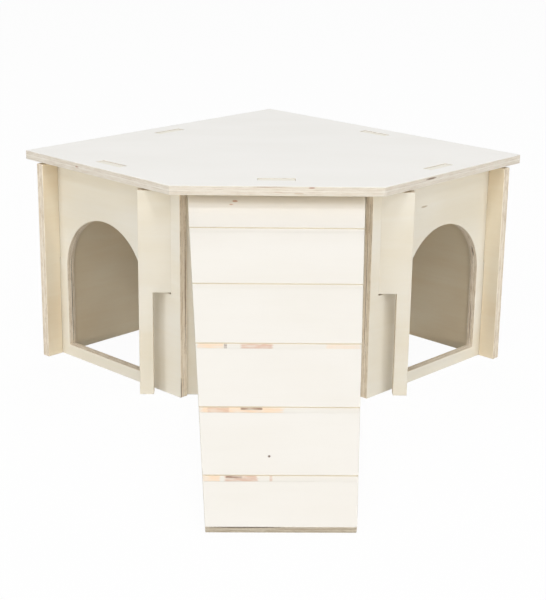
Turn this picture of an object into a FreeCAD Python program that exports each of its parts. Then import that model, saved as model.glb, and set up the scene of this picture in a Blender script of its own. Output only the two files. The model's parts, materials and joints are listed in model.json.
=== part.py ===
import FreeCAD, Part
import math
import os
import Sketcher

# A plug-together hamster house of seven plywood boards. Four wall boards and a front panel
# stand on edge and cross each other in half-height slots. The roof board drops over one tab on
# each wall, and the grooved ramp hangs by two tongues in notches at the top of the front panel.
# Millimetres. The house stands on Z = 0, its front and the ramp face -Y, and it is the same on
# both sides of X = 0 but for the crossing at its back corner.
#
# The plan is worked out from the roof's back corner: "along" runs from that corner beside
# either back edge of the roof, and the two back edges meet at a right angle.

DRIVING_SIZES = {
    "board_thickness": 5.3,
    # roof: a square with its front corner cut off
    "roof_side": 210.0,
    "roof_short_side": 127.0,
    "roof_gap": 1.0,
    # walls, measured inwards from the roof's edges
    "wall_height": 120.5,
    "back_inset": 11.0,
    "door_inset": 10.5,
    "front_inset": 15.0,
    "wall_tail": 8.0,
    "back_panel_nose": 11.0,
    "door_panel_nose": 7.7,
    "front_panel_width": 154.0,
    # half-height slots
    "slot_split_height": 61.0,
    "slot_end_gap": 0.8,
    "slot_clearance": 0.1,
    "front_slot_spare": 4.8,
    # arched doorways, measured from the back panel's outer face
    "doorway_setback": 47.0,
    "doorway_radius": 35.0,
    "doorway_spring_height": 56.5,
    "doorway_sill_height": 7.0,
    # tabs under the roof
    "tab_length": 20.5,
    "tab_clearance": 0.3,
    "tab_below_top": 0.4,
    # ramp
    "ramp_reach": 175.2,
    "ramp_side_gap": 0.55,
    "ramp_foot_width": 70.0,
    "groove_first": 28.1,
    "groove_pitch": 39.2,
    "groove_width": 3.5,
    "groove_depth": 1.0,
    "groove_count": 5,
    # tongues of the ramp and their notches
    "notch_depth": 5.3,
    "notch_width": 16.0,
    "notch_centre": 28.0,
    "tongue_length": 6.0,
    "tongue_thickness": 2.6,
    "tongue_clearance": 0.3,
    "shoulder_gap": 0.4,
}

# Each worked-out size is a formula of the driving sizes and of those above it.
WORKED_OUT = {
    "roof_underside": "Sizes.wall_height + Sizes.roof_gap",
    "front_face": "(Sizes.roof_side + Sizes.roof_short_side) / sqrt(2) - Sizes.front_inset",
    "door_face": "Sizes.roof_side - Sizes.door_inset",
    "wall_start": "Sizes.back_inset - Sizes.wall_tail",
    "back_panel_end": "door_face + Sizes.back_panel_nose",
    "door_panel_end": "front_face * sqrt(2) - door_face + Sizes.door_panel_nose",
    "tab_height": "Sizes.roof_gap + Sizes.board_thickness - Sizes.tab_below_top",
    "slot_width": "Sizes.board_thickness + 2 * Sizes.slot_clearance",
    "top_slot_floor": "Sizes.slot_split_height - Sizes.slot_end_gap / 2",
    "bottom_slot_top": "Sizes.slot_split_height + Sizes.slot_end_gap / 2",
    "slanted_slot_middle": "(front_face - Sizes.board_thickness / 2) * sqrt(2) - door_face"
                           " + Sizes.board_thickness / 2",
    "front_slot_inner": "(door_face - Sizes.board_thickness) * sqrt(2) - front_face"
                        " - Sizes.slot_clearance",
    "front_slot_outer": "door_face * sqrt(2) - front_face + Sizes.board_thickness"
                        " + Sizes.front_slot_spare",
    "ramp_top_width": "2 * ((door_face - Sizes.board_thickness - door_panel_end) / sqrt(2)"
                      " - Sizes.ramp_side_gap)",
    "pivot_height": "Sizes.wall_height - Sizes.notch_depth",
    "foot_to_pivot": "sqrt(pow(Sizes.ramp_reach; 2) + pow(pivot_height; 2))",
    "slope": "atan(pivot_height / Sizes.ramp_reach)"
             " + asin(Sizes.tongue_clearance / foot_to_pivot)",
    "ramp_length": "sqrt(pow(foot_to_pivot; 2) - pow(Sizes.tongue_clearance; 2))"
                   " - Sizes.shoulder_gap",
    "back_corner": "(front_face + Sizes.ramp_reach + Sizes.board_thickness * sin(slope)) / 2",
}

# Degrees about the upright axis.
RIGHT_EDGE_ANGLE = -45.0
LEFT_EDGE_ANGLE = -135.0
CROSSING_ANGLE = 45.0
# Cuts run this far past the surface that they open. Tabs and tongues start this far inside
# their board.
OVERLAP = 1.0


def add_sheet(doc, name, cells):
    sheet = doc.addObject("Spreadsheet::Sheet", name)
    for row, (alias, content) in enumerate(cells.items(), start=1):
        sheet.set(f"A{row}", alias)
        sheet.set(f"B{row}", str(content))
        sheet.setAlias(f"B{row}", alias)
    doc.recompute()
    return sheet


def bind(thing, bindings):
    for path, formula in bindings.items():
        thing.setExpression(path, formula)


def add_body(doc, name, turn, axis, place):
    body = doc.addObject("PartDesign::Body", name)
    body.Label = name
    body.Placement.Rotation.Axis = FreeCAD.Vector(*axis)
    bind(body, {f"Placement.Base.{letter}": formula for letter, formula in place.items()})
    body.setExpression("Placement.Rotation.Angle", str(turn))
    return body


def add_sketch(body, name, role, corner, level="0", turn=0.0):
    """A sketch on one of the body's own planes, with its origin moved to the corner."""
    plane = next(item for item in body.Origin.OriginFeatures if item.Role == role)
    sketch = body.newObject("Sketcher::SketchObject", name)
    sketch.AttachmentSupport = [(plane, "")]
    sketch.MapMode = "FlatFace"
    sketch.AttachmentOffset = FreeCAD.Placement(
        FreeCAD.Vector(), FreeCAD.Rotation(FreeCAD.Vector(0, 0, 1), turn))
    bind(sketch, {
        "AttachmentOffset.Base.x": corner[0],
        "AttachmentOffset.Base.y": corner[1],
        "AttachmentOffset.Base.z": level,
    })
    return sketch


def polygon(sketch, points):
    """Closed line work through the points. The constraints are added by the caller."""
    for index, (start_x, start_y) in enumerate(points):
        end_x, end_y = points[(index + 1) % len(points)]
        start = FreeCAD.Vector(start_x, start_y, 0)
        end = FreeCAD.Vector(end_x, end_y, 0)
        sketch.addGeometry(Part.LineSegment(start, end), False)
    for index in range(len(points)):
        following = (index + 1) % len(points)
        sketch.addConstraint(Sketcher.Constraint("Coincident", index, 2, following, 1))


def measure(sketch, kind, *ends, formula, guess):
    number = sketch.addConstraint(Sketcher.Constraint(kind, *ends, guess))
    sketch.setExpression(f"Constraints[{number}]", formula)


def rectangle(sketch, width, height, centred=False):
    """A rectangle from the sketch's origin to the right and up, or centred on the origin."""
    size = 10.0
    low = -size / 2 if centred else 0.0
    high = low + size
    polygon(sketch, [(low, low), (high, low), (high, high), (low, high)])
    for line, direction in enumerate(("Horizontal", "Vertical", "Horizontal", "Vertical")):
        sketch.addConstraint(Sketcher.Constraint(direction, line))
    measure(sketch, "DistanceX", 0, 1, 0, 2, formula=width, guess=size)
    measure(sketch, "DistanceY", 1, 1, 1, 2, formula=height, guess=size)
    if centred:
        sketch.addConstraint(Sketcher.Constraint("Symmetric", 0, 1, 1, 2, -1, 1))
    else:
        sketch.addConstraint(Sketcher.Constraint("Coincident", 0, 1, -1, 1))


def pad(body, sketch, name, length, backwards=False):
    feature = body.newObject("PartDesign::Pad", name)
    feature.Profile = sketch
    feature.Reversed = backwards
    feature.setExpression("Length", length)
    sketch.Visibility = False
    body.Document.recompute()
    return feature


def pocket(body, sketch, name, depth, upwards=False):
    before = body.Shape.Volume
    feature = body.newObject("PartDesign::Pocket", name)
    feature.Profile = sketch
    feature.Reversed = upwards
    feature.setExpression("Length", depth)
    body.Document.recompute()
    if not body.Shape.Volume < before:
        raise ValueError(f"{name} cuts nothing")
    return feature


class WallBoard:
    """A board on edge. Its outer face lies on its own XZ plane, and X runs along it."""

    def __init__(self, doc, name, turn, place, inward_is_y):
        self.body = add_body(doc, name, turn, (0, 0, 1), place)
        self.name = name
        self.inward_is_y = inward_is_y

    def sketch(self, label, along, height):
        return add_sketch(self.body, f"{self.name}_{label}_sketch", "XZ_Plane", (along, height))

    def add(self, label, along, height, width, rise):
        sketch = self.sketch(label, along, height)
        rectangle(sketch, width, rise)
        pad(self.body, sketch, f"{self.name}_{label}", "Sizes.board_thickness",
            self.inward_is_y)

    def cut(self, label, along, height, width, rise):
        sketch = self.sketch(label, along, height)
        rectangle(sketch, width, rise)
        self.cut_sketch(label, sketch)

    def cut_sketch(self, label, sketch):
        pocket(self.body, sketch, f"{self.name}_{label}", "Sizes.board_thickness",
               not self.inward_is_y)

    def board(self, start, end):
        self.add("board", start, "0", f"({end}) - ({start})", "Sizes.wall_height")

    def tab(self, middle):
        self.add("tab", f"{middle} - Sizes.tab_length / 2", f"Sizes.wall_height - {OVERLAP}",
                 "Sizes.tab_length", f"Worked_out.tab_height + {OVERLAP}")

    def top_slot(self, label, along):
        self.cut(label, f"{along} - Sizes.slot_clearance", "Worked_out.top_slot_floor",
                 "Worked_out.slot_width",
                 f"Sizes.wall_height - Worked_out.top_slot_floor + {OVERLAP}")

    def bottom_slot(self, label, along, width="Worked_out.slot_width"):
        self.cut(label, along, f"-{OVERLAP}", width, f"Worked_out.bottom_slot_top + {OVERLAP}")


def beside_corner(distance, towards_right):
    """The roof's back corner moved by a distance along its right or left back edge."""
    sign = "" if towards_right else "-"
    return {
        "x": f"{sign}{distance} / sqrt(2)",
        "y": f"Worked_out.back_corner - {distance} / sqrt(2)",
        "z": "0",
    }


def make_back_panel(doc, on_right):
    if on_right:
        panel = WallBoard(doc, "back_right_panel", RIGHT_EDGE_ANGLE,
                          beside_corner("Sizes.back_inset", False), False)
    else:
        panel = WallBoard(doc, "back_left_panel", LEFT_EDGE_ANGLE,
                          beside_corner("Sizes.back_inset", True), True)
    panel.board("Worked_out.wall_start", "Worked_out.back_panel_end")
    panel.tab("(Worked_out.wall_start + Worked_out.back_panel_end) / 2")
    clear = "Sizes.slot_clearance"
    panel.bottom_slot("door_slot", f"Worked_out.door_face - Sizes.board_thickness - {clear}")
    if on_right:
        panel.bottom_slot("corner_slot", f"Sizes.back_inset - {clear}")
    else:
        panel.top_slot("corner_slot", "Sizes.back_inset")
    return panel.body


def doorway_sketch(panel):
    """An arch: a sill, two upright sides and half a circle on top."""
    sketch = panel.sketch("doorway", "Sizes.back_inset + Sizes.doorway_setback",
                          "Sizes.doorway_sill_height")
    radius = 30.0
    spring = 40.0
    up = FreeCAD.Vector(0, 0, 1)
    corners = [(-radius, spring), (-radius, 0), (radius, 0), (radius, spring)]
    for start, end in zip(corners, corners[1:]):
        sketch.addGeometry(
            Part.LineSegment(FreeCAD.Vector(*start, 0), FreeCAD.Vector(*end, 0)), False)
    circle = Part.Circle(FreeCAD.Vector(0, spring, 0), up, radius)
    sketch.addGeometry(Part.ArcOfCircle(circle, 0.0, math.pi), False)
    left, sill, right, arch = range(4)
    sketch.addConstraint([
        Sketcher.Constraint("Coincident", left, 2, sill, 1),
        Sketcher.Constraint("Coincident", sill, 2, right, 1),
        Sketcher.Constraint("Tangent", right, 2, arch, 1),
        Sketcher.Constraint("Tangent", left, 1, arch, 2),
        Sketcher.Constraint("Vertical", left),
        Sketcher.Constraint("Vertical", right),
        Sketcher.Constraint("Horizontal", sill),
        Sketcher.Constraint("Symmetric", sill, 1, sill, 2, -1, 1),
    ])
    measure(sketch, "DistanceX", sill, 1, sill, 2,
            formula="2 * Sizes.doorway_radius", guess=2 * radius)
    measure(sketch, "DistanceY", left, 2, left, 1,
            formula="Sizes.doorway_spring_height - Sizes.doorway_sill_height", guess=spring)
    return sketch


def make_door_panel(doc, on_right):
    if on_right:
        panel = WallBoard(doc, "right_door_panel", LEFT_EDGE_ANGLE,
                          beside_corner("Worked_out.door_face", True), False)
    else:
        panel = WallBoard(doc, "left_door_panel", RIGHT_EDGE_ANGLE,
                          beside_corner("Worked_out.door_face", False), True)
    panel.board("Worked_out.wall_start", "Worked_out.door_panel_end")
    panel.tab("(Worked_out.wall_start + Worked_out.door_panel_end) / 2")
    panel.top_slot("back_slot", "Sizes.back_inset")
    panel.cut_sketch("doorway", doorway_sketch(panel))
    # The slot for the front panel is cut at 45 degrees through the board, to hug the panel.
    inwards = -1 if on_right else 1
    slanted = add_sketch(
        panel.body, f"{panel.name}_front_slot_sketch", "XY_Plane",
        ("Worked_out.slanted_slot_middle", f"{inwards} * Sizes.board_thickness / 2"),
        "Worked_out.top_slot_floor", CROSSING_ANGLE * inwards)
    rectangle(slanted, "4 * Sizes.board_thickness", "Worked_out.slot_width", centred=True)
    pocket(panel.body, slanted, f"{panel.name}_front_slot",
           f"Sizes.wall_height - Worked_out.top_slot_floor + {OVERLAP}", upwards=True)
    return panel.body


def make_front_panel(doc):
    place = {"x": "0", "y": "Worked_out.back_corner - Worked_out.front_face", "z": "0"}
    panel = WallBoard(doc, "front_panel", "0", place, True)
    panel.board("-Sizes.front_panel_width / 2", "Sizes.front_panel_width / 2")
    panel.tab("0")
    slot_width = "Worked_out.front_slot_outer - Worked_out.front_slot_inner"
    panel.bottom_slot("left_door_slot", "-Worked_out.front_slot_outer", slot_width)
    panel.bottom_slot("right_door_slot", "Worked_out.front_slot_inner", slot_width)
    for label, side in (("left_notch", "-"), ("right_notch", "")):
        panel.cut(label, f"{side}Sizes.notch_centre - Sizes.notch_width / 2",
                  "Worked_out.pivot_height", "Sizes.notch_width",
                  f"Sizes.notch_depth + {OVERLAP}")
    return panel.body


def make_roof(doc):
    place = {"x": "0", "y": "Worked_out.back_corner", "z": "Worked_out.roof_underside"}
    body = add_body(doc, "roof_board", RIGHT_EDGE_ANGLE, (0, 0, 1), place)
    outline = add_sketch(body, "roof_outline", "XY_Plane", ("0", "0"))
    side = 200.0
    short = 120.0
    polygon(outline, [(0, 0), (0, -side), (short, -side), (side, -short), (side, 0)])
    back_left, left, front, right, back_right = range(5)
    outline.addConstraint([
        Sketcher.Constraint("Coincident", back_left, 1, -1, 1),
        Sketcher.Constraint("Vertical", back_left),
        Sketcher.Constraint("Horizontal", left),
        Sketcher.Constraint("Vertical", right),
        Sketcher.Constraint("Horizontal", back_right),
    ])
    measure(outline, "DistanceY", back_left, 2, back_left, 1,
            formula="Sizes.roof_side", guess=side)
    measure(outline, "DistanceX", back_right, 2, back_right, 1,
            formula="Sizes.roof_side", guess=side)
    measure(outline, "DistanceX", left, 1, left, 2,
            formula="Sizes.roof_short_side", guess=short)
    measure(outline, "DistanceY", right, 1, right, 2,
            formula="Sizes.roof_short_side", guess=short)
    pad(body, outline, "roof_plate", "Sizes.board_thickness")

    back_middle = "(Worked_out.wall_start + Worked_out.back_panel_end) / 2"
    door_middle = "(Worked_out.wall_start + Worked_out.door_panel_end) / 2"
    back_line = "Sizes.back_inset + Sizes.board_thickness / 2"
    door_line = "Worked_out.door_face - Sizes.board_thickness / 2"
    front_line = "(Worked_out.front_face - Sizes.board_thickness / 2) / sqrt(2)"
    openings = (
        ("back_right_tab_slot", back_middle, f"-({back_line})", 0.0),
        ("back_left_tab_slot", back_line, f"-({back_middle})", 90.0),
        ("left_door_tab_slot", door_middle, f"-({door_line})", 0.0),
        ("right_door_tab_slot", door_line, f"-({door_middle})", 90.0),
        ("front_tab_slot", front_line, f"-({front_line})", CROSSING_ANGLE),
    )
    for name, across, down, turn in openings:
        sketch = add_sketch(body, f"{name}_sketch", "XY_Plane", (across, down), turn=turn)
        rectangle(sketch, "Sizes.tab_length + 2 * Sizes.tab_clearance",
                  "Sizes.board_thickness + 2 * Sizes.tab_clearance", centred=True)
        pocket(body, sketch, name, "Sizes.board_thickness", upwards=True)
    return body


def make_ramp(doc):
    """The board lies on its own XY plane with its foot on the X axis, then tilts up."""
    place = {
        "x": "0",
        "y": "Worked_out.back_corner - Worked_out.front_face - Sizes.ramp_reach",
        "z": "0",
    }
    body = add_body(doc, "ramp_board", "Worked_out.slope", (1, 0, 0), place)
    outline = add_sketch(body, "ramp_outline", "XY_Plane", ("0", "0"))
    foot = 60.0
    top = 90.0
    length = 200.0
    polygon(outline, [(-foot / 2, 0), (foot / 2, 0), (top / 2, length), (-top / 2, length)])
    foot_edge, right_edge, top_edge, left_edge = range(4)
    outline.addConstraint([
        Sketcher.Constraint("Symmetric", foot_edge, 1, foot_edge, 2, -1, 1),
        Sketcher.Constraint("Horizontal", foot_edge),
        Sketcher.Constraint("Symmetric", top_edge, 2, top_edge, 1, -2),
    ])
    measure(outline, "DistanceX", foot_edge, 1, foot_edge, 2,
            formula="Sizes.ramp_foot_width", guess=foot)
    measure(outline, "DistanceX", top_edge, 2, top_edge, 1,
            formula="Worked_out.ramp_top_width", guess=top)
    measure(outline, "DistanceY", right_edge, 1, right_edge, 2,
            formula="Worked_out.ramp_length", guess=length)
    pad(body, outline, "ramp_plate", "Sizes.board_thickness")

    tongue_width = "Sizes.notch_width - 2 * Sizes.tongue_clearance"
    for name, side in (("left_tongue", "-"), ("right_tongue", "")):
        corner = (f"{side}Sizes.notch_centre - ({tongue_width}) / 2",
                  f"Worked_out.ramp_length - {OVERLAP}")
        sketch = add_sketch(body, f"{name}_sketch", "XY_Plane", corner)
        rectangle(sketch, tongue_width, f"Sizes.tongue_length + {OVERLAP}")
        pad(body, sketch, name, "Sizes.tongue_thickness")

    groove = add_sketch(
        body, "groove_sketch", "XY_Plane",
        ("-Worked_out.ramp_top_width / 2", "Sizes.groove_first - Sizes.groove_width"),
        "Sizes.board_thickness")
    rectangle(groove, "Worked_out.ramp_top_width", "Sizes.groove_width")
    cut = pocket(body, groove, "groove", "Sizes.groove_depth")
    grooves = body.newObject("PartDesign::LinearPattern", "grooves")
    grooves.Originals = [cut]
    grooves.Direction = (groove, ["V_Axis"])
    grooves.setExpression("Occurrences", "Sizes.groove_count")
    grooves.setExpression("Length", "Sizes.groove_pitch * (Sizes.groove_count - 1)")
    body.Tip = grooves
    doc.recompute()
    return body


def check(doc, bodies):
    for item in doc.Objects:
        faults = [state for state in item.State if state in ("Invalid", "Error")]
        if faults:
            raise ValueError(f"{item.Label}: {faults}")
    for body in bodies:
        shape = body.Shape
        if shape.isNull() or not shape.isValid() or len(shape.Solids) != 1:
            raise ValueError(f"{body.Label} is not one sound solid")


def main():
    doc = FreeCAD.newDocument("hamster_house")
    add_sheet(doc, "Sizes", DRIVING_SIZES)
    add_sheet(doc, "Worked_out",
              {alias: f"={formula}" for alias, formula in WORKED_OUT.items()})
    bodies = [
        make_roof(doc),
        make_back_panel(doc, on_right=False),
        make_back_panel(doc, on_right=True),
        make_door_panel(doc, on_right=False),
        make_door_panel(doc, on_right=True),
        make_front_panel(doc),
        make_ramp(doc),
    ]
    doc.recompute()
    check(doc, bodies)
    os.makedirs("parts", exist_ok=True)
    for body in bodies:
        body.Shape.exportStep(f"parts/{body.Label}.step")
        box = body.Shape.BoundBox
        print(f"{body.Label}: {body.Shape.Volume:.0f} mm3, X {box.XMin:.1f} to {box.XMax:.1f},"
              f" Y {box.YMin:.1f} to {box.YMax:.1f}, Z {box.ZMin:.1f} to {box.ZMax:.1f}")
    sheet = doc.getObject("Worked_out")
    for alias in WORKED_OUT:
        print(alias, sheet.get(alias))


main()
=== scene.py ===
import json
import math

import bmesh
import bpy
from mathutils import Matrix, Vector


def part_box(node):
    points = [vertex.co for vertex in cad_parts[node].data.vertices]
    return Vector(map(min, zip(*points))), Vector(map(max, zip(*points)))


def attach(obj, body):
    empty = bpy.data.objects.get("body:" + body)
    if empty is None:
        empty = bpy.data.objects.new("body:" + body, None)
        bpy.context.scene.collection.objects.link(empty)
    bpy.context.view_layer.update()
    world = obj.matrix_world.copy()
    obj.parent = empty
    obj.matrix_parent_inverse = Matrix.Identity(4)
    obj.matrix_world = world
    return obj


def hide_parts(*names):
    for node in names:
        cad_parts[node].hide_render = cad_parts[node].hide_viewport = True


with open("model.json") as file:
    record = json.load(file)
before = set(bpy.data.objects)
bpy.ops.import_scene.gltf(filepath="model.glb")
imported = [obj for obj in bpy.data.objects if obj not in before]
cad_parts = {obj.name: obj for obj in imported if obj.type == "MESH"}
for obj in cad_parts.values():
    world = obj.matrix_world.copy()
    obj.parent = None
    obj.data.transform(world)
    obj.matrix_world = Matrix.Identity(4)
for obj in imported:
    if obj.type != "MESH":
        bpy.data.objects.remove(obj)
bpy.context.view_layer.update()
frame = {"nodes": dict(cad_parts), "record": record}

MM = 0.001
SLOTS = {
    "roof_board": "roof_plywood",
    "back_left_panel": "wall_plywood",
    "back_right_panel": "wall_plywood",
    "left_door_panel": "wall_plywood",
    "right_door_panel": "wall_plywood",
    "front_panel": "wall_plywood",
    "ramp_board": "ramp_plywood",
}
BODIES = {node: body for body, nodes in frame["record"]["behaviour"]["bodies"].items()
          for node in nodes}

# Edges of the boards: how far they are rounded, and which count as flat or as a corner.
EDGE_ROUND = 0.3 * MM
BEVEL_STEPS = 2
MERGE_DISTANCE = 0.002 * MM
FLAT = math.radians(0.5)
CREASE = math.radians(25)
# A facet belongs to a broad side where its normal is at least this close to the board's.
FACING = 0.8

# Bare sanded plywood: matt, with a fine relief.
SPECULAR = 0.2
ROUGHNESS_SPREAD = 0.06
BUMP_STRENGTH = 0.35
FACE_ROUGHNESS = 0.62
FACE_RELIEF = 0.05 * MM
EDGE_ROUGHNESS = 0.72
EDGE_RELIEF = 0.08 * MM


def srgb(red, green, blue):
    """A colour given as it looks on screen, from 0 to 255, in Blender's linear light."""
    channels = []
    for value in (red, green, blue):
        share = value / 255
        if share <= 0.04045:
            channels.append(share / 12.92)
        else:
            channels.append(((share + 0.055) / 1.055) ** 2.4)
    return (*channels, 1.0)


# Small helpers for shader trees.

def add(tree, kind, inputs=None, **settings):
    node = tree.nodes.new(kind)
    for name, value in settings.items():
        setattr(node, name, value)
    for name, value in (inputs or {}).items():
        if isinstance(value, bpy.types.NodeSocket):
            tree.links.new(value, node.inputs[name])
        else:
            node.inputs[name].default_value = value
    return node


def calc(tree, operation, first, second=0.0, third=0.0, clamp=False):
    inputs = {0: first, 1: second, 2: third}
    return add(tree, "ShaderNodeMath", inputs, operation=operation, use_clamp=clamp).outputs[0]


def mix(tree, factor, under, over, blend="MIX"):
    node = add(tree, "ShaderNodeMix", {0: factor, 6: under, 7: over},
               data_type="RGBA", blend_type=blend)
    return node.outputs[2]


def ramp_between(tree, value, low, high, to_low=0.0, to_high=1.0):
    node = add(tree, "ShaderNodeMapRange", {
        "Value": value, "From Min": low, "From Max": high,
        "To Min": to_low, "To Max": to_high,
    }, interpolation_type="SMOOTHSTEP")
    return node.outputs["Result"]


def stretched(tree, vector, scale):
    node = add(tree, "ShaderNodeMapping", {"Vector": vector, "Scale": scale})
    return node.outputs["Vector"]


def noise(tree, vector, scale, detail=3.0, roughness=0.5, distortion=0.0):
    node = add(tree, "ShaderNodeTexNoise", {
        "Vector": vector, "Scale": scale, "Detail": detail,
        "Roughness": roughness, "Distortion": distortion,
    })
    return node.outputs["Fac"]


def new_group(name, inputs, outputs):
    group = bpy.data.node_groups.new(name, "ShaderNodeTree")
    for label, kind, default in inputs:
        socket = group.interface.new_socket(label, in_out="INPUT", socket_type=kind)
        if default is not None:
            socket.default_value = default
    for label, kind in outputs:
        group.interface.new_socket(label, in_out="OUTPUT", socket_type=kind)
    source = group.nodes.new("NodeGroupInput").outputs
    result = group.nodes.new("NodeGroupOutput").inputs
    return group, source, result


def use(tree, group, inputs):
    return add(tree, "ShaderNodeGroup", inputs, node_tree=group).outputs


# Shared wood effects. Board coordinates: X along the face grain, Y across it in the face,
# Z through the board from its middle plane.

COLOUR = "NodeSocketColor"
NUMBER = "NodeSocketFloat"
VECTOR = "NodeSocketVector"

# How much each layer of figure adds to a face.
BROAD_SHARE = 0.40
FINE_SHARE = 0.18
CLOUDY_SHARE = 0.75
PORE_SHARE = 0.25

# Through a board, from 0 at one face to 1 at the other: the tone of each ply, and the place and
# width of each glue line.
PLY_TONES = ((0.0, 0.10), (0.14, 0.15), (0.16, 0.75), (0.37, 0.60), (0.40, 0.15),
             (0.60, 0.10), (0.63, 0.70), (0.84, 0.75), (0.87, 0.15), (1.0, 0.10))
GLUE_LINES = ((0.15, 0.018), (0.385, 0.016), (0.615, 0.020), (0.86, 0.018))


def make_face_veneer():
    group, given, result = new_group(
        "face_veneer",
        [("Board", VECTOR, None), ("Pale", COLOUR, None), ("Deep", COLOUR, None),
         ("Figure", NUMBER, 1.0)],
        [("Color", COLOUR), ("Height", NUMBER)])
    board = given["Board"]
    along = stretched(group, board, (0.10, 1.0, 1.0))
    broad = noise(group, along, 60, detail=3, distortion=0.8)
    fine = noise(group, along, 430, detail=4, roughness=0.6)
    cloudy = noise(group, stretched(group, board, (0.5, 1.0, 1.0)), 24, detail=2)
    fibre = noise(group, stretched(group, board, (0.03, 1.0, 1.0)), 1900, detail=2)
    streaks = calc(group, "MULTIPLY", ramp_between(group, broad, 0.38, 0.68), BROAD_SHARE)
    streaks = calc(group, "MULTIPLY_ADD", ramp_between(group, fine, 0.35, 0.70), FINE_SHARE,
                   streaks)
    streaks = calc(group, "MULTIPLY_ADD", ramp_between(group, cloudy, 0.35, 0.65), CLOUDY_SHARE,
                   streaks)
    streaks = calc(group, "MULTIPLY", streaks, given["Figure"], clamp=True)
    colour = mix(group, streaks, given["Pale"], given["Deep"])
    pores = ramp_between(group, fibre, 0.66, 0.80)
    faint = calc(group, "MULTIPLY", pores, calc(group, "MULTIPLY", given["Figure"], PORE_SHARE))
    colour = mix(group, faint, colour, given["Deep"], blend="MULTIPLY")
    group.links.new(colour, result["Color"])
    height = calc(group, "MULTIPLY_ADD", fibre, 0.6, calc(group, "MULTIPLY", fine, 0.4))
    group.links.new(height, result["Height"])
    return group


def make_ply_edge():
    """Five plies with glue lines between them, for any cut edge of a board."""
    group, given, result = new_group(
        "ply_edge",
        [("Board", VECTOR, None), ("Thickness", NUMBER, 5.3 * MM),
         ("Pale", COLOUR, None), ("Deep", COLOUR, None), ("Glue", COLOUR, None),
         ("Wear", NUMBER, 0.5)],
        [("Color", COLOUR), ("Height", NUMBER)])
    board = given["Board"]
    through = add(group, "ShaderNodeSeparateXYZ", {0: board}).outputs["Z"]
    wander = calc(group, "SUBTRACT", noise(group, board, 70, detail=2), 0.5)
    depth = calc(group, "DIVIDE", through, given["Thickness"])
    depth = calc(group, "MULTIPLY_ADD", wander, 0.05, calc(group, "ADD", depth, 0.5))
    fibres = noise(group, stretched(group, board, (0.12, 0.12, 1.0)), 1500, detail=4,
                   roughness=0.65)
    patches = noise(group, stretched(group, board, (1.0, 1.0, 3.0)), 55, detail=3)

    tones = group.nodes.new("ShaderNodeValToRGB")
    group.links.new(depth, tones.inputs["Fac"])
    tones.color_ramp.interpolation = "LINEAR"
    fill_ramp(tones.color_ramp, PLY_TONES)
    tone = calc(group, "MULTIPLY_ADD", ramp_between(group, fibres, 0.30, 0.72), 0.55,
                calc(group, "MULTIPLY", tones.outputs["Color"], 0.50))
    tone = calc(group, "MULTIPLY_ADD", ramp_between(group, patches, 0.45, 0.75), 0.25, tone,
                clamp=True)
    colour = mix(group, tone, given["Pale"], given["Deep"])

    glue = None
    for line, width in GLUE_LINES:
        away = calc(group, "ABSOLUTE", calc(group, "SUBTRACT", depth, line))
        band = ramp_between(group, away, width * 0.5, width * 1.6, 1.0, 0.0)
        glue = band if glue is None else calc(group, "MAXIMUM", glue, band)
    gaps = noise(group, stretched(group, board, (1.0, 1.0, 4.0)), 110, detail=3, roughness=0.7)
    broken = ramp_between(group, gaps, 0.46, 0.60)
    strength = calc(group, "MULTIPLY", calc(group, "MULTIPLY_ADD", broken, 0.75, 0.25), glue)
    strength = calc(group, "MULTIPLY", strength, given["Wear"], clamp=True)
    colour = mix(group, strength, colour, given["Glue"])
    group.links.new(colour, result["Color"])
    height = calc(group, "SUBTRACT", fibres, strength)
    group.links.new(height, result["Height"])
    return group


def fill_ramp(ramp, stops):
    """Grey stops, given as place and level."""
    elements = ramp.elements
    while len(elements) > 1:
        elements.remove(elements[-1])
    for index, (place, level) in enumerate(stops):
        element = elements[0] if index == 0 else elements.new(place)
        element.position = place
        element.color = (level, level, level, 1.0)


def make_spot():
    """A soft-edged oval: a pin knot, a stain or a dark stretch of a glue line."""
    group, given, result = new_group(
        "wood_spot",
        [("Board", VECTOR, None), ("Centre", VECTOR, None), ("Reach", VECTOR, None)],
        [("Mask", NUMBER)])
    rough = add(group, "ShaderNodeTexNoise", {"Vector": given["Board"], "Scale": 1500.0,
                                              "Detail": 2.0}).outputs["Color"]
    shift = add(group, "ShaderNodeVectorMath", {0: rough, 1: (0.5, 0.5, 0.5)},
                operation="SUBTRACT").outputs[0]
    away = add(group, "ShaderNodeVectorMath", {0: given["Board"], 1: given["Centre"]},
               operation="SUBTRACT").outputs[0]
    away = add(group, "ShaderNodeVectorMath", {0: away, 1: given["Reach"]},
               operation="DIVIDE").outputs[0]
    away = add(group, "ShaderNodeVectorMath", {0: shift, 1: (0.9, 0.9, 0.0), 2: away},
               operation="MULTIPLY_ADD").outputs[0]
    length = add(group, "ShaderNodeVectorMath", {0: away}, operation="LENGTH").outputs["Value"]
    group.links.new(ramp_between(group, length, 0.55, 1.15, 1.0, 0.0), result["Mask"])
    return group


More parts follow.
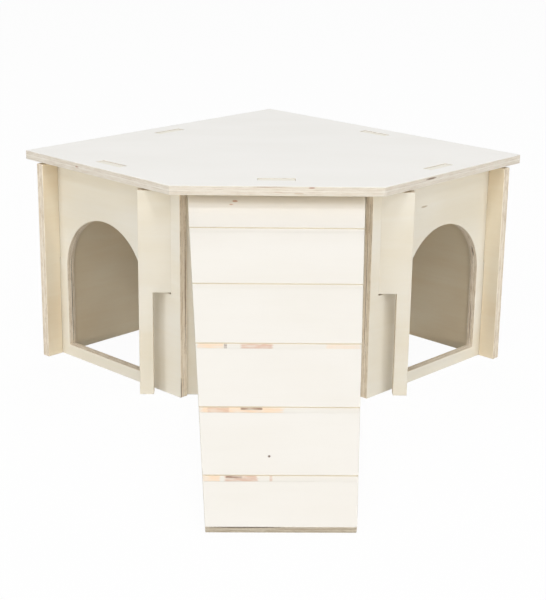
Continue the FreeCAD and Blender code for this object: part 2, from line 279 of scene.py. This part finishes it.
def make_patch():
    """A ragged-ended stretch of the ply below the face, in the floor of a groove."""
    group, given, result = new_group(
        "bare_patch",
        [("Board", VECTOR, None), ("Centre", VECTOR, None), ("Reach", VECTOR, None)],
        [("Mask", NUMBER)])
    away = add(group, "ShaderNodeVectorMath", {0: given["Board"], 1: given["Centre"]},
               operation="SUBTRACT").outputs[0]
    away = add(group, "ShaderNodeVectorMath", {0: away, 1: given["Reach"]},
               operation="DIVIDE").outputs[0]
    away = add(group, "ShaderNodeVectorMath", {0: away}, operation="ABSOLUTE").outputs[0]
    parts = add(group, "ShaderNodeSeparateXYZ", {0: away}).outputs
    ragged = noise(group, stretched(group, given["Board"], (1.0, 3.0, 1.0)), 500)
    ends = calc(group, "MULTIPLY_ADD", ragged, 0.30, parts["X"])
    mask = ramp_between(group, ends, 1.0, 1.2, 1.0, 0.0)
    for label in ("Y", "Z"):
        mask = calc(group, "MULTIPLY", mask, ramp_between(group, parts[label], 0.95, 1.0,
                                                          1.0, 0.0))
    streaks = noise(group, stretched(group, given["Board"], (0.25, 1.0, 1.0)), 700)
    mask = calc(group, "MULTIPLY", mask, ramp_between(group, streaks, 0.30, 0.65, 0.45, 1.0))
    group.links.new(mask, result["Mask"])
    return group


FACE_VENEER = make_face_veneer()
PLY_EDGE = make_ply_edge()
SPOT = make_spot()
PATCH = make_patch()

# The finishes of the three lots of board: the pale and the deep tone, and how strong the figure
# is. The backs are the sides that look into the house or down. They are painted warmer than the
# fair faces: a reverse veneer, with painted shade for the inside of the house and under the
# roof.
FACES = {
    # The roof's and the ramp's fair faces look up to the lamps and are painted near white and
    # less yellow than the walls: their wood's tone with painted light.
    "roof_plywood": (srgb(242, 240, 236), srgb(238, 236, 231), 0.5),
    "wall_plywood": (srgb(227, 223, 212), srgb(221, 212, 191), 0.6),
    "ramp_plywood": (srgb(226, 223, 217), srgb(222, 218, 210), 0.5),
}
BACKS_AND_PAINTED_SHADE = {
    "roof_plywood": (srgb(238, 224, 194), srgb(230, 213, 180), 0.5),
    "wall_plywood": (srgb(234, 225, 204), srgb(224, 206, 176), 0.6),
    "ramp_plywood": (srgb(238, 226, 202), srgb(232, 216, 188), 0.5),
}
# Cut edges: the pale plies, the deep plies, and how strong the glue lines are.
EDGES = {
    "roof_plywood": (srgb(224, 219, 209), srgb(206, 196, 180), 0.32),
    "wall_plywood": (srgb(238, 230, 215), srgb(210, 194, 170), 0.85),
    # The ramp's cut edges are painted darker than the others': painted shade for its foot, which
    # faces down, away from the lamps.
    "ramp_plywood": (srgb(214, 207, 192), srgb(182, 169, 147), 0.60),
}
GLUE = srgb(120, 92, 66)

# The walls' tabs are as pale as the roof where they come up through it.
TAB_TOP = srgb(239, 236, 226)
TAB_TINT = 0.85
ROOF_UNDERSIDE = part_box("roof_board")[0][2]
TAB_TINT_FROM = ROOF_UNDERSIDE + 3 * MM
TAB_TINT_TO = ROOF_UNDERSIDE + 4 * MM

# Places in the boards' own coordinates, in millimetres. The fair face and the groove floors are
# measured from a board's middle plane.
FAIR_FACE = 2.65
GROOVE_FLOOR = 1.65
ROOF_FRONT = -37.6
RAMP_FOOT = -165.1
DOOR_PANEL_NOSE = 17.9
DOORWAY_FAR_SIDE = 118.9
FIRST_GROOVE = 18.0
GROOVE_PITCH = 39.2
GROOVE_COUNT = 5
GROOVE_MIDDLES = [FIRST_GROOVE - GROOVE_PITCH * groove for groove in range(GROOVE_COUNT)]

PEACH = srgb(235, 207, 177)
ROSE = srgb(208, 175, 155)
UMBER = srgb(124, 98, 84)
GROOVE_WALL = srgb(217, 208, 188)


def on_face(along, across, reach_along, reach_across, tint, strength):
    """A mark on a fair face."""
    return (along, across, FAIR_FACE), (reach_along, reach_across, 0.6), tint, strength


def on_groove_floor(groove, along, reach_along, tint, strength, rise=0.0, reach_across=1.9):
    """A bare patch in a groove. The grooves count from 0 at the top of the ramp."""
    centre = (along, GROOVE_MIDDLES[groove] + rise, GROOVE_FLOOR)
    return centre, (reach_along, reach_across, 0.3), tint, strength


def on_groove_walls(groove):
    """The pale, bare wood of both walls of a groove."""
    centre = (0.0, GROOVE_MIDDLES[groove], (FAIR_FACE + GROOVE_FLOOR) / 2)
    return centre, (200.0, 4.0, 1.3), GROOVE_WALL, 0.95


# Marks in the wood: centre, reach either way, colour and strength.
KNOTS = {
    "ramp_board": (
        on_face(-5.3, -126.6, 0.75, 0.75, srgb(92, 66, 54), 0.9),
        on_face(7.5, -21.0, 1.1, 1.0, srgb(158, 146, 132), 0.75),
        on_face(-17.9, -21.3, 2.6, 1.4, srgb(224, 206, 196), 0.6),
        on_face(-22.9, 38.9, 1.7, 0.8, srgb(172, 124, 92), 0.8),
        on_face(-24.9, 36.3, 1.3, 0.6, srgb(180, 134, 104), 0.7),
    ),
    "right_door_panel": (
        on_face(63.6, 105.9, 3.2, 0.6, srgb(176, 160, 134), 0.8),
    ),
}
BARE_PATCHES = {
    "ramp_board": (
        on_groove_floor(2, -34.5, 7.0, PEACH, 0.75),
        on_groove_floor(2, -26.9, 0.8, UMBER, 0.75),
        on_groove_floor(2, -11.1, 8.4, ROSE, 0.85),
        on_groove_floor(2, 32.7, 9.0, PEACH, 0.45),
        on_groove_floor(3, -18.5, 21.0, PEACH, 0.85),
        on_groove_floor(3, -30.0, 5.5, ROSE, 0.70),
        on_groove_floor(3, -13.8, 5.5, UMBER, 0.80, rise=1.2, reach_across=0.8),
        on_groove_floor(4, -32.6, 4.2, PEACH, 0.80),
        on_groove_floor(4, -18.6, 8.1, ROSE, 0.90),
        on_groove_floor(4, -22.0, 4.0, UMBER, 0.70, rise=1.2, reach_across=0.7),
        on_groove_floor(4, -4.5, 0.7, ROSE, 0.70),
    ),
}
EDGE_MARKS = {
    "roof_board": (
        ((-4.8, ROOF_FRONT, 2.25), (10.5, 1.5, 0.35), srgb(160, 130, 104), 0.55),
        ((18.6, ROOF_FRONT, 1.95), (2.1, 1.5, 0.40), srgb(150, 92, 70), 0.80),
        ((0.5, ROOF_FRONT, -0.6), (3.5, 1.5, 0.30), srgb(178, 146, 118), 0.50),
        ((11.6, ROOF_FRONT, -1.1), (3.2, 1.5, 0.30), srgb(178, 146, 118), 0.50),
        # A chip in the right front edge, painted dark: darker wood, with painted shade for the
        # hollow.
        ((87.3, -8.9, 1.3), (5.0, 5.0, 0.60), srgb(112, 88, 70), 0.85),
        ((-114.5, 18.2, 0.3), (1.6, 1.6, 0.45), srgb(150, 104, 80), 0.70),
    ),
    "ramp_board": (
        ((-16.4, RAMP_FOOT, 2.3), (18.5, 2.0, 0.50), srgb(70, 58, 50), 0.90),
        ((9.7, RAMP_FOOT, 1.9), (9.0, 2.0, 0.25), srgb(120, 102, 84), 0.60),
        ((10.0, RAMP_FOOT, 0.5), (17.0, 2.0, 0.35), srgb(150, 124, 96), 0.70),
        *(on_groove_walls(groove) for groove in range(GROOVE_COUNT)),
    ),
    "left_door_panel": (
        ((-DOOR_PANEL_NOSE, 63.0, -1.5), (1.5, 42.0, 0.35), srgb(104, 76, 60), 0.80),
        ((-DOOR_PANEL_NOSE, 5.0, 2.1), (1.5, 8.0, 0.40), srgb(86, 68, 56), 0.80),
        ((-DOORWAY_FAR_SIDE, 34.0, -0.6), (1.5, 30.0, 0.40), srgb(70, 56, 46), 0.75),
    ),
    "right_door_panel": (
        ((DOOR_PANEL_NOSE, 60.0, -0.5), (1.5, 45.0, 0.35), srgb(120, 92, 68), 0.60),
        ((DOORWAY_FAR_SIDE, 22.0, -0.4), (1.5, 15.0, 0.50), srgb(126, 98, 74), 0.65),
        ((116.6, 69.0, 0.2), (2.5, 4.5, 0.60), srgb(106, 82, 62), 0.75),
    ),
}


# The places of a piece's three materials in its list of slots.
FAIR, BACK, EDGE = range(3)
# A point inside the house, which tells the outer side of a wall from the inner one.
ROOM_MIDDLE = Vector((0, 70, 60)) * MM


class BoardFrame:
    """A board's own axes: X along its face grain, Z through it from its middle plane."""

    def __init__(self, cad_name):
        mesh = frame["nodes"][cad_name].data
        largest = max(mesh.polygons, key=lambda face: face.area)
        through = largest.normal.normalized()
        upright = abs(through.z) < 0.5
        if upright:
            along = Vector((0, 0, 1)).cross(through)
        else:
            if through.z < 0:
                through = -through
            along = Vector((1, 0, 0))
        across = through.cross(along)
        self.matrix = Matrix((along, across, through)).transposed()
        low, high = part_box(cad_name)
        outwards = (Vector(low) + Vector(high)) / 2 - ROOM_MIDDLE
        self.fair_side = 1 if not upright or through.dot(outwards) > 0 else -1
        depths = [vertex.co.dot(through) for vertex in mesh.vertices]
        self.thickness = max(depths) - min(depths)
        self.origin = through * (max(depths) + min(depths)) / 2
        self.through = through
        self.upright = upright


def board_coordinates(tree, board):
    place = add(tree, "ShaderNodeTexCoord").outputs["Object"]
    node = add(tree, "ShaderNodeMapping", {
        "Vector": place,
        "Location": board.origin,
        "Rotation": board.matrix.to_euler(),
    }, vector_type="TEXTURE")
    return node.outputs["Vector"]


def new_material(name):
    material = bpy.data.materials.new(name)
    material.use_nodes = True
    tree = material.node_tree
    tree.nodes.clear()
    output = tree.nodes.new("ShaderNodeOutputMaterial")
    shader = tree.nodes.new("ShaderNodeBsdfPrincipled")
    tree.links.new(shader.outputs["BSDF"], output.inputs["Surface"])
    shader.inputs["Specular IOR Level"].default_value = SPECULAR
    return material, tree, shader


def finish_surface(tree, shader, colour, height, roughness, relief):
    tree.links.new(colour, shader.inputs["Base Color"])
    rough = ramp_between(tree, height, 0.2, 0.8, roughness + ROUGHNESS_SPREAD,
                         roughness - ROUGHNESS_SPREAD)
    tree.links.new(rough, shader.inputs["Roughness"])
    bump = add(tree, "ShaderNodeBump", {"Height": height, "Strength": BUMP_STRENGTH,
                                        "Distance": relief})
    tree.links.new(bump.outputs["Normal"], shader.inputs["Normal"])


def marked(tree, colour, coordinates, group, marks):
    """The colour with marks laid over it."""
    for centre, reach, tint, strength in marks:
        mask = use(tree, group, {
            "Board": coordinates,
            "Centre": Vector(centre) * MM,
            "Reach": Vector(reach) * MM,
        })
        colour = mix(tree, calc(tree, "MULTIPLY", mask["Mask"], strength), colour, tint)
    return colour


def face_material(name, board, tones, knots=(), patches=()):
    pale, deep, figure = tones
    material, tree, shader = new_material(name)
    coordinates = board_coordinates(tree, board)
    veneer = use(tree, FACE_VENEER, {"Board": coordinates, "Pale": pale, "Deep": deep,
                                     "Figure": figure})
    colour = marked(tree, veneer["Color"], coordinates, SPOT, knots)
    colour = marked(tree, colour, coordinates, PATCH, patches)
    finish_surface(tree, shader, colour, veneer["Height"], FACE_ROUGHNESS, FACE_RELIEF)
    return material


def edge_material(name, board, tones, marks=()):
    pale, deep, wear = tones
    material, tree, shader = new_material(name)
    coordinates = board_coordinates(tree, board)
    plies = use(tree, PLY_EDGE, {
        "Board": coordinates, "Thickness": board.thickness, "Pale": pale,
        "Deep": deep, "Glue": GLUE, "Wear": wear,
    })
    colour = marked(tree, plies["Color"], coordinates, SPOT, marks)
    if board.upright:
        place = add(tree, "ShaderNodeTexCoord").outputs["Object"]
        height = add(tree, "ShaderNodeSeparateXYZ", {0: place}).outputs["Z"]
        on_tab = ramp_between(tree, height, TAB_TINT_FROM, TAB_TINT_TO)
        colour = mix(tree, calc(tree, "MULTIPLY", on_tab, TAB_TINT), colour, TAB_TOP)
    finish_surface(tree, shader, colour, plies["Height"], EDGE_ROUGHNESS, EDGE_RELIEF)
    return material


def soft_board(cad_name):
    """The CAD board with its edges rounded, and a material each for face, back and cut edges."""
    cad_node = frame["nodes"][cad_name]
    board = BoardFrame(cad_name)
    mesh = bpy.data.meshes.new(cad_name + "_wood")
    work = bmesh.new()
    work.from_mesh(cad_node.data)
    bmesh.ops.remove_doubles(work, verts=work.verts, dist=MERGE_DISTANCE)
    bmesh.ops.dissolve_limit(work, angle_limit=FLAT, verts=work.verts, edges=work.edges)
    for face in work.faces:
        face.smooth = any(FLAT < edge.calc_face_angle(0.0) < CREASE for edge in face.edges)
    corners = [edge for edge in work.edges if edge.calc_face_angle(0.0) >= CREASE]
    rounded = bmesh.ops.bevel(work, geom=corners, offset=EDGE_ROUND, offset_type="OFFSET",
                              segments=BEVEL_STEPS, affect="EDGES", profile=0.5,
                              material=-1, clamp_overlap=True)
    for face in rounded["faces"]:
        face.smooth = True
    for face in work.faces:
        level = face.normal.dot(board.through) * board.fair_side
        face.material_index = FAIR if level > FACING else BACK if level < -FACING else EDGE
    work.to_mesh(mesh)
    work.free()
    piece = bpy.data.objects.new(cad_name + "_wood", mesh)
    bpy.context.scene.collection.objects.link(piece)
    slot = SLOTS[cad_name]
    mesh.materials.append(face_material(
        cad_name + "_face", board, FACES[slot],
        KNOTS.get(cad_name, ()), BARE_PATCHES.get(cad_name, ())))
    mesh.materials.append(face_material(cad_name + "_back", board, BACKS_AND_PAINTED_SHADE[slot]))
    mesh.materials.append(edge_material(
        cad_name + "_edge", board, EDGES[slot], EDGE_MARKS.get(cad_name, ())))
    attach(piece, BODIES[cad_name])
    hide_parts(cad_name)


for cad_name in SLOTS:
    soft_board(cad_name)


# Studio: a white floor and sky, soft lamps in front, at the sides, above and behind, and the
# camera.

# The photograph's height in pixels, and the camera fitted to the house's corners in it. Its
# angles are in radians.
FRAME_HEIGHT = 600
CAMERA_FOCAL_PIXELS = 1457.5
CAMERA_PLACE = Vector((-19.3, -808.3, 306.4)) * MM
CAMERA_YAW = 0.02315
CAMERA_PITCH = 0.30664
CAMERA_ROLL = 0.01386
SENSOR_WIDTH = 36.0

# The sky's light behind and in front of the house, and how white the floor looks.
SKY_BACK = 0.25
SKY_FRONT = 0.52
FLOOR_GLOW = 0.96
FLOOR_PAINT = (0.85, 0.85, 0.85, 1.0)
FLOOR_SIZE = 16.0
FLOOR_DROP = 0.2 * MM
WHITE = (1, 1, 1, 1)

# Each lamp's name, azimuth, elevation, size in metres, watts and, where it isn't white, colour.
HOUSE_MIDDLE = Vector((0, -30, 60)) * MM
SOFTBOX_DISTANCE = 2.0
WARM = (1.0, 0.87, 0.70)
COOL = (0.98, 0.99, 1.0)
SOFTBOXES = (
    ("front_left_softbox", -27, 43, 0.3, 4.2),
    ("front_right_softbox", 27, 43, 0.3, 4.2),
    ("low_front_fill", 0, 6, 0.4, 5.0, WARM),
    ("left_fill", -62, 15, 0.6, 7.4, COOL),
    ("right_fill", 62, 15, 0.6, 7.4, COOL),
    ("top_softbox", 0, 70, 0.35, 9.0, COOL),
    ("back_softbox", 180, 60, 0.6, 7.0),
)


def seen_share(tree):
    """1 where a camera, mirror or glass ray looks, which meets plain white, and 0 elsewhere."""
    path = add(tree, "ShaderNodeLightPath").outputs
    share = calc(tree, "ADD", path["Is Camera Ray"], path["Is Glossy Ray"])
    return calc(tree, "ADD", share, path["Is Transmission Ray"], clamp=True)


def make_floor():
    """White to the eye, apart from the house's faint shadow, and matt paint to the light."""
    bpy.ops.mesh.primitive_plane_add(size=FLOOR_SIZE, location=(0, 0, -FLOOR_DROP))
    floor = bpy.context.object
    floor.name = "studio_floor"
    material = bpy.data.materials.new("studio_floor")
    material.use_nodes = True
    tree = material.node_tree
    tree.nodes.clear()
    output = tree.nodes.new("ShaderNodeOutputMaterial")
    paint = add(tree, "ShaderNodeBsdfDiffuse", {"Color": FLOOR_PAINT})
    glow = add(tree, "ShaderNodeEmission", {"Color": WHITE, "Strength": 1.0})
    seen = calc(tree, "MULTIPLY", seen_share(tree), FLOOR_GLOW)
    blend = add(tree, "ShaderNodeMixShader", {0: seen, 1: paint.outputs[0],
                                              2: glow.outputs[0]})
    tree.links.new(blend.outputs[0], output.inputs["Surface"])
    floor.data.materials.append(material)


def make_sky():
    """White to the eye. Its light grows from SKY_BACK behind the house to its front."""
    world = bpy.data.worlds.new("studio_sky")
    world.use_nodes = True
    tree = world.node_tree
    tree.nodes.clear()
    output = tree.nodes.new("ShaderNodeOutputWorld")
    towards = add(tree, "ShaderNodeTexCoord").outputs["Generated"]
    depth = add(tree, "ShaderNodeSeparateXYZ", {0: towards}).outputs["Y"]
    frontal = calc(tree, "MULTIPLY", depth, -1.0, clamp=True)
    light = calc(tree, "MULTIPLY_ADD", frontal, SKY_FRONT, SKY_BACK)
    strength = add(tree, "ShaderNodeMix", {"Factor": seen_share(tree), "A": light, "B": 1.0},
                   data_type="FLOAT").outputs["Result"]
    background = add(tree, "ShaderNodeBackground", {"Color": WHITE, "Strength": strength})
    tree.links.new(background.outputs[0], output.inputs["Surface"])
    bpy.context.scene.world = world


def make_softbox(name, azimuth, elevation, size, watts, tint=(1.0, 1.0, 1.0)):
    """A square lamp that faces the house. Azimuth 0 is in front, and 90 on the right."""
    turn = math.radians(azimuth)
    rise = math.radians(elevation)
    outwards = Vector((math.sin(turn) * math.cos(rise), -math.cos(turn) * math.cos(rise),
                       math.sin(rise)))
    light = bpy.data.lights.new(name, "AREA")
    light.shape = "SQUARE"
    light.size = size
    light.energy = watts
    light.color = tint
    lamp = bpy.data.objects.new(name, light)
    lamp.location = HOUSE_MIDDLE + outwards * SOFTBOX_DISTANCE
    lamp.rotation_euler = outwards.to_track_quat("Z", "Y").to_euler()
    bpy.context.scene.collection.objects.link(lamp)


def make_camera():
    """The photograph's view: a little left of the middle, looking down at the front."""
    data = bpy.data.cameras.new("camera")
    data.sensor_fit = "AUTO"
    data.sensor_width = SENSOR_WIDTH
    data.lens = CAMERA_FOCAL_PIXELS * data.sensor_width / FRAME_HEIGHT
    data.clip_start = 0.01
    data.clip_end = 50.0
    camera = bpy.data.objects.new("camera", data)
    bpy.context.scene.collection.objects.link(camera)
    forward = Vector((math.sin(CAMERA_YAW) * math.cos(CAMERA_PITCH),
                      math.cos(CAMERA_YAW) * math.cos(CAMERA_PITCH),
                      -math.sin(CAMERA_PITCH)))
    right = Vector((math.cos(CAMERA_YAW), -math.sin(CAMERA_YAW), 0))
    up = right.cross(forward)
    turned_right = right * math.cos(CAMERA_ROLL) + up * math.sin(CAMERA_ROLL)
    turned_up = up * math.cos(CAMERA_ROLL) - right * math.sin(CAMERA_ROLL)
    camera.matrix_world = Matrix.Translation(CAMERA_PLACE) @ Matrix(
        (turned_right, turned_up, -forward)).transposed().to_4x4()
    bpy.context.scene.camera = camera


make_floor()
make_sky()
for softbox in SOFTBOXES:
    make_softbox(*softbox)
make_camera()
bpy.context.scene.view_settings.view_transform = "Standard"
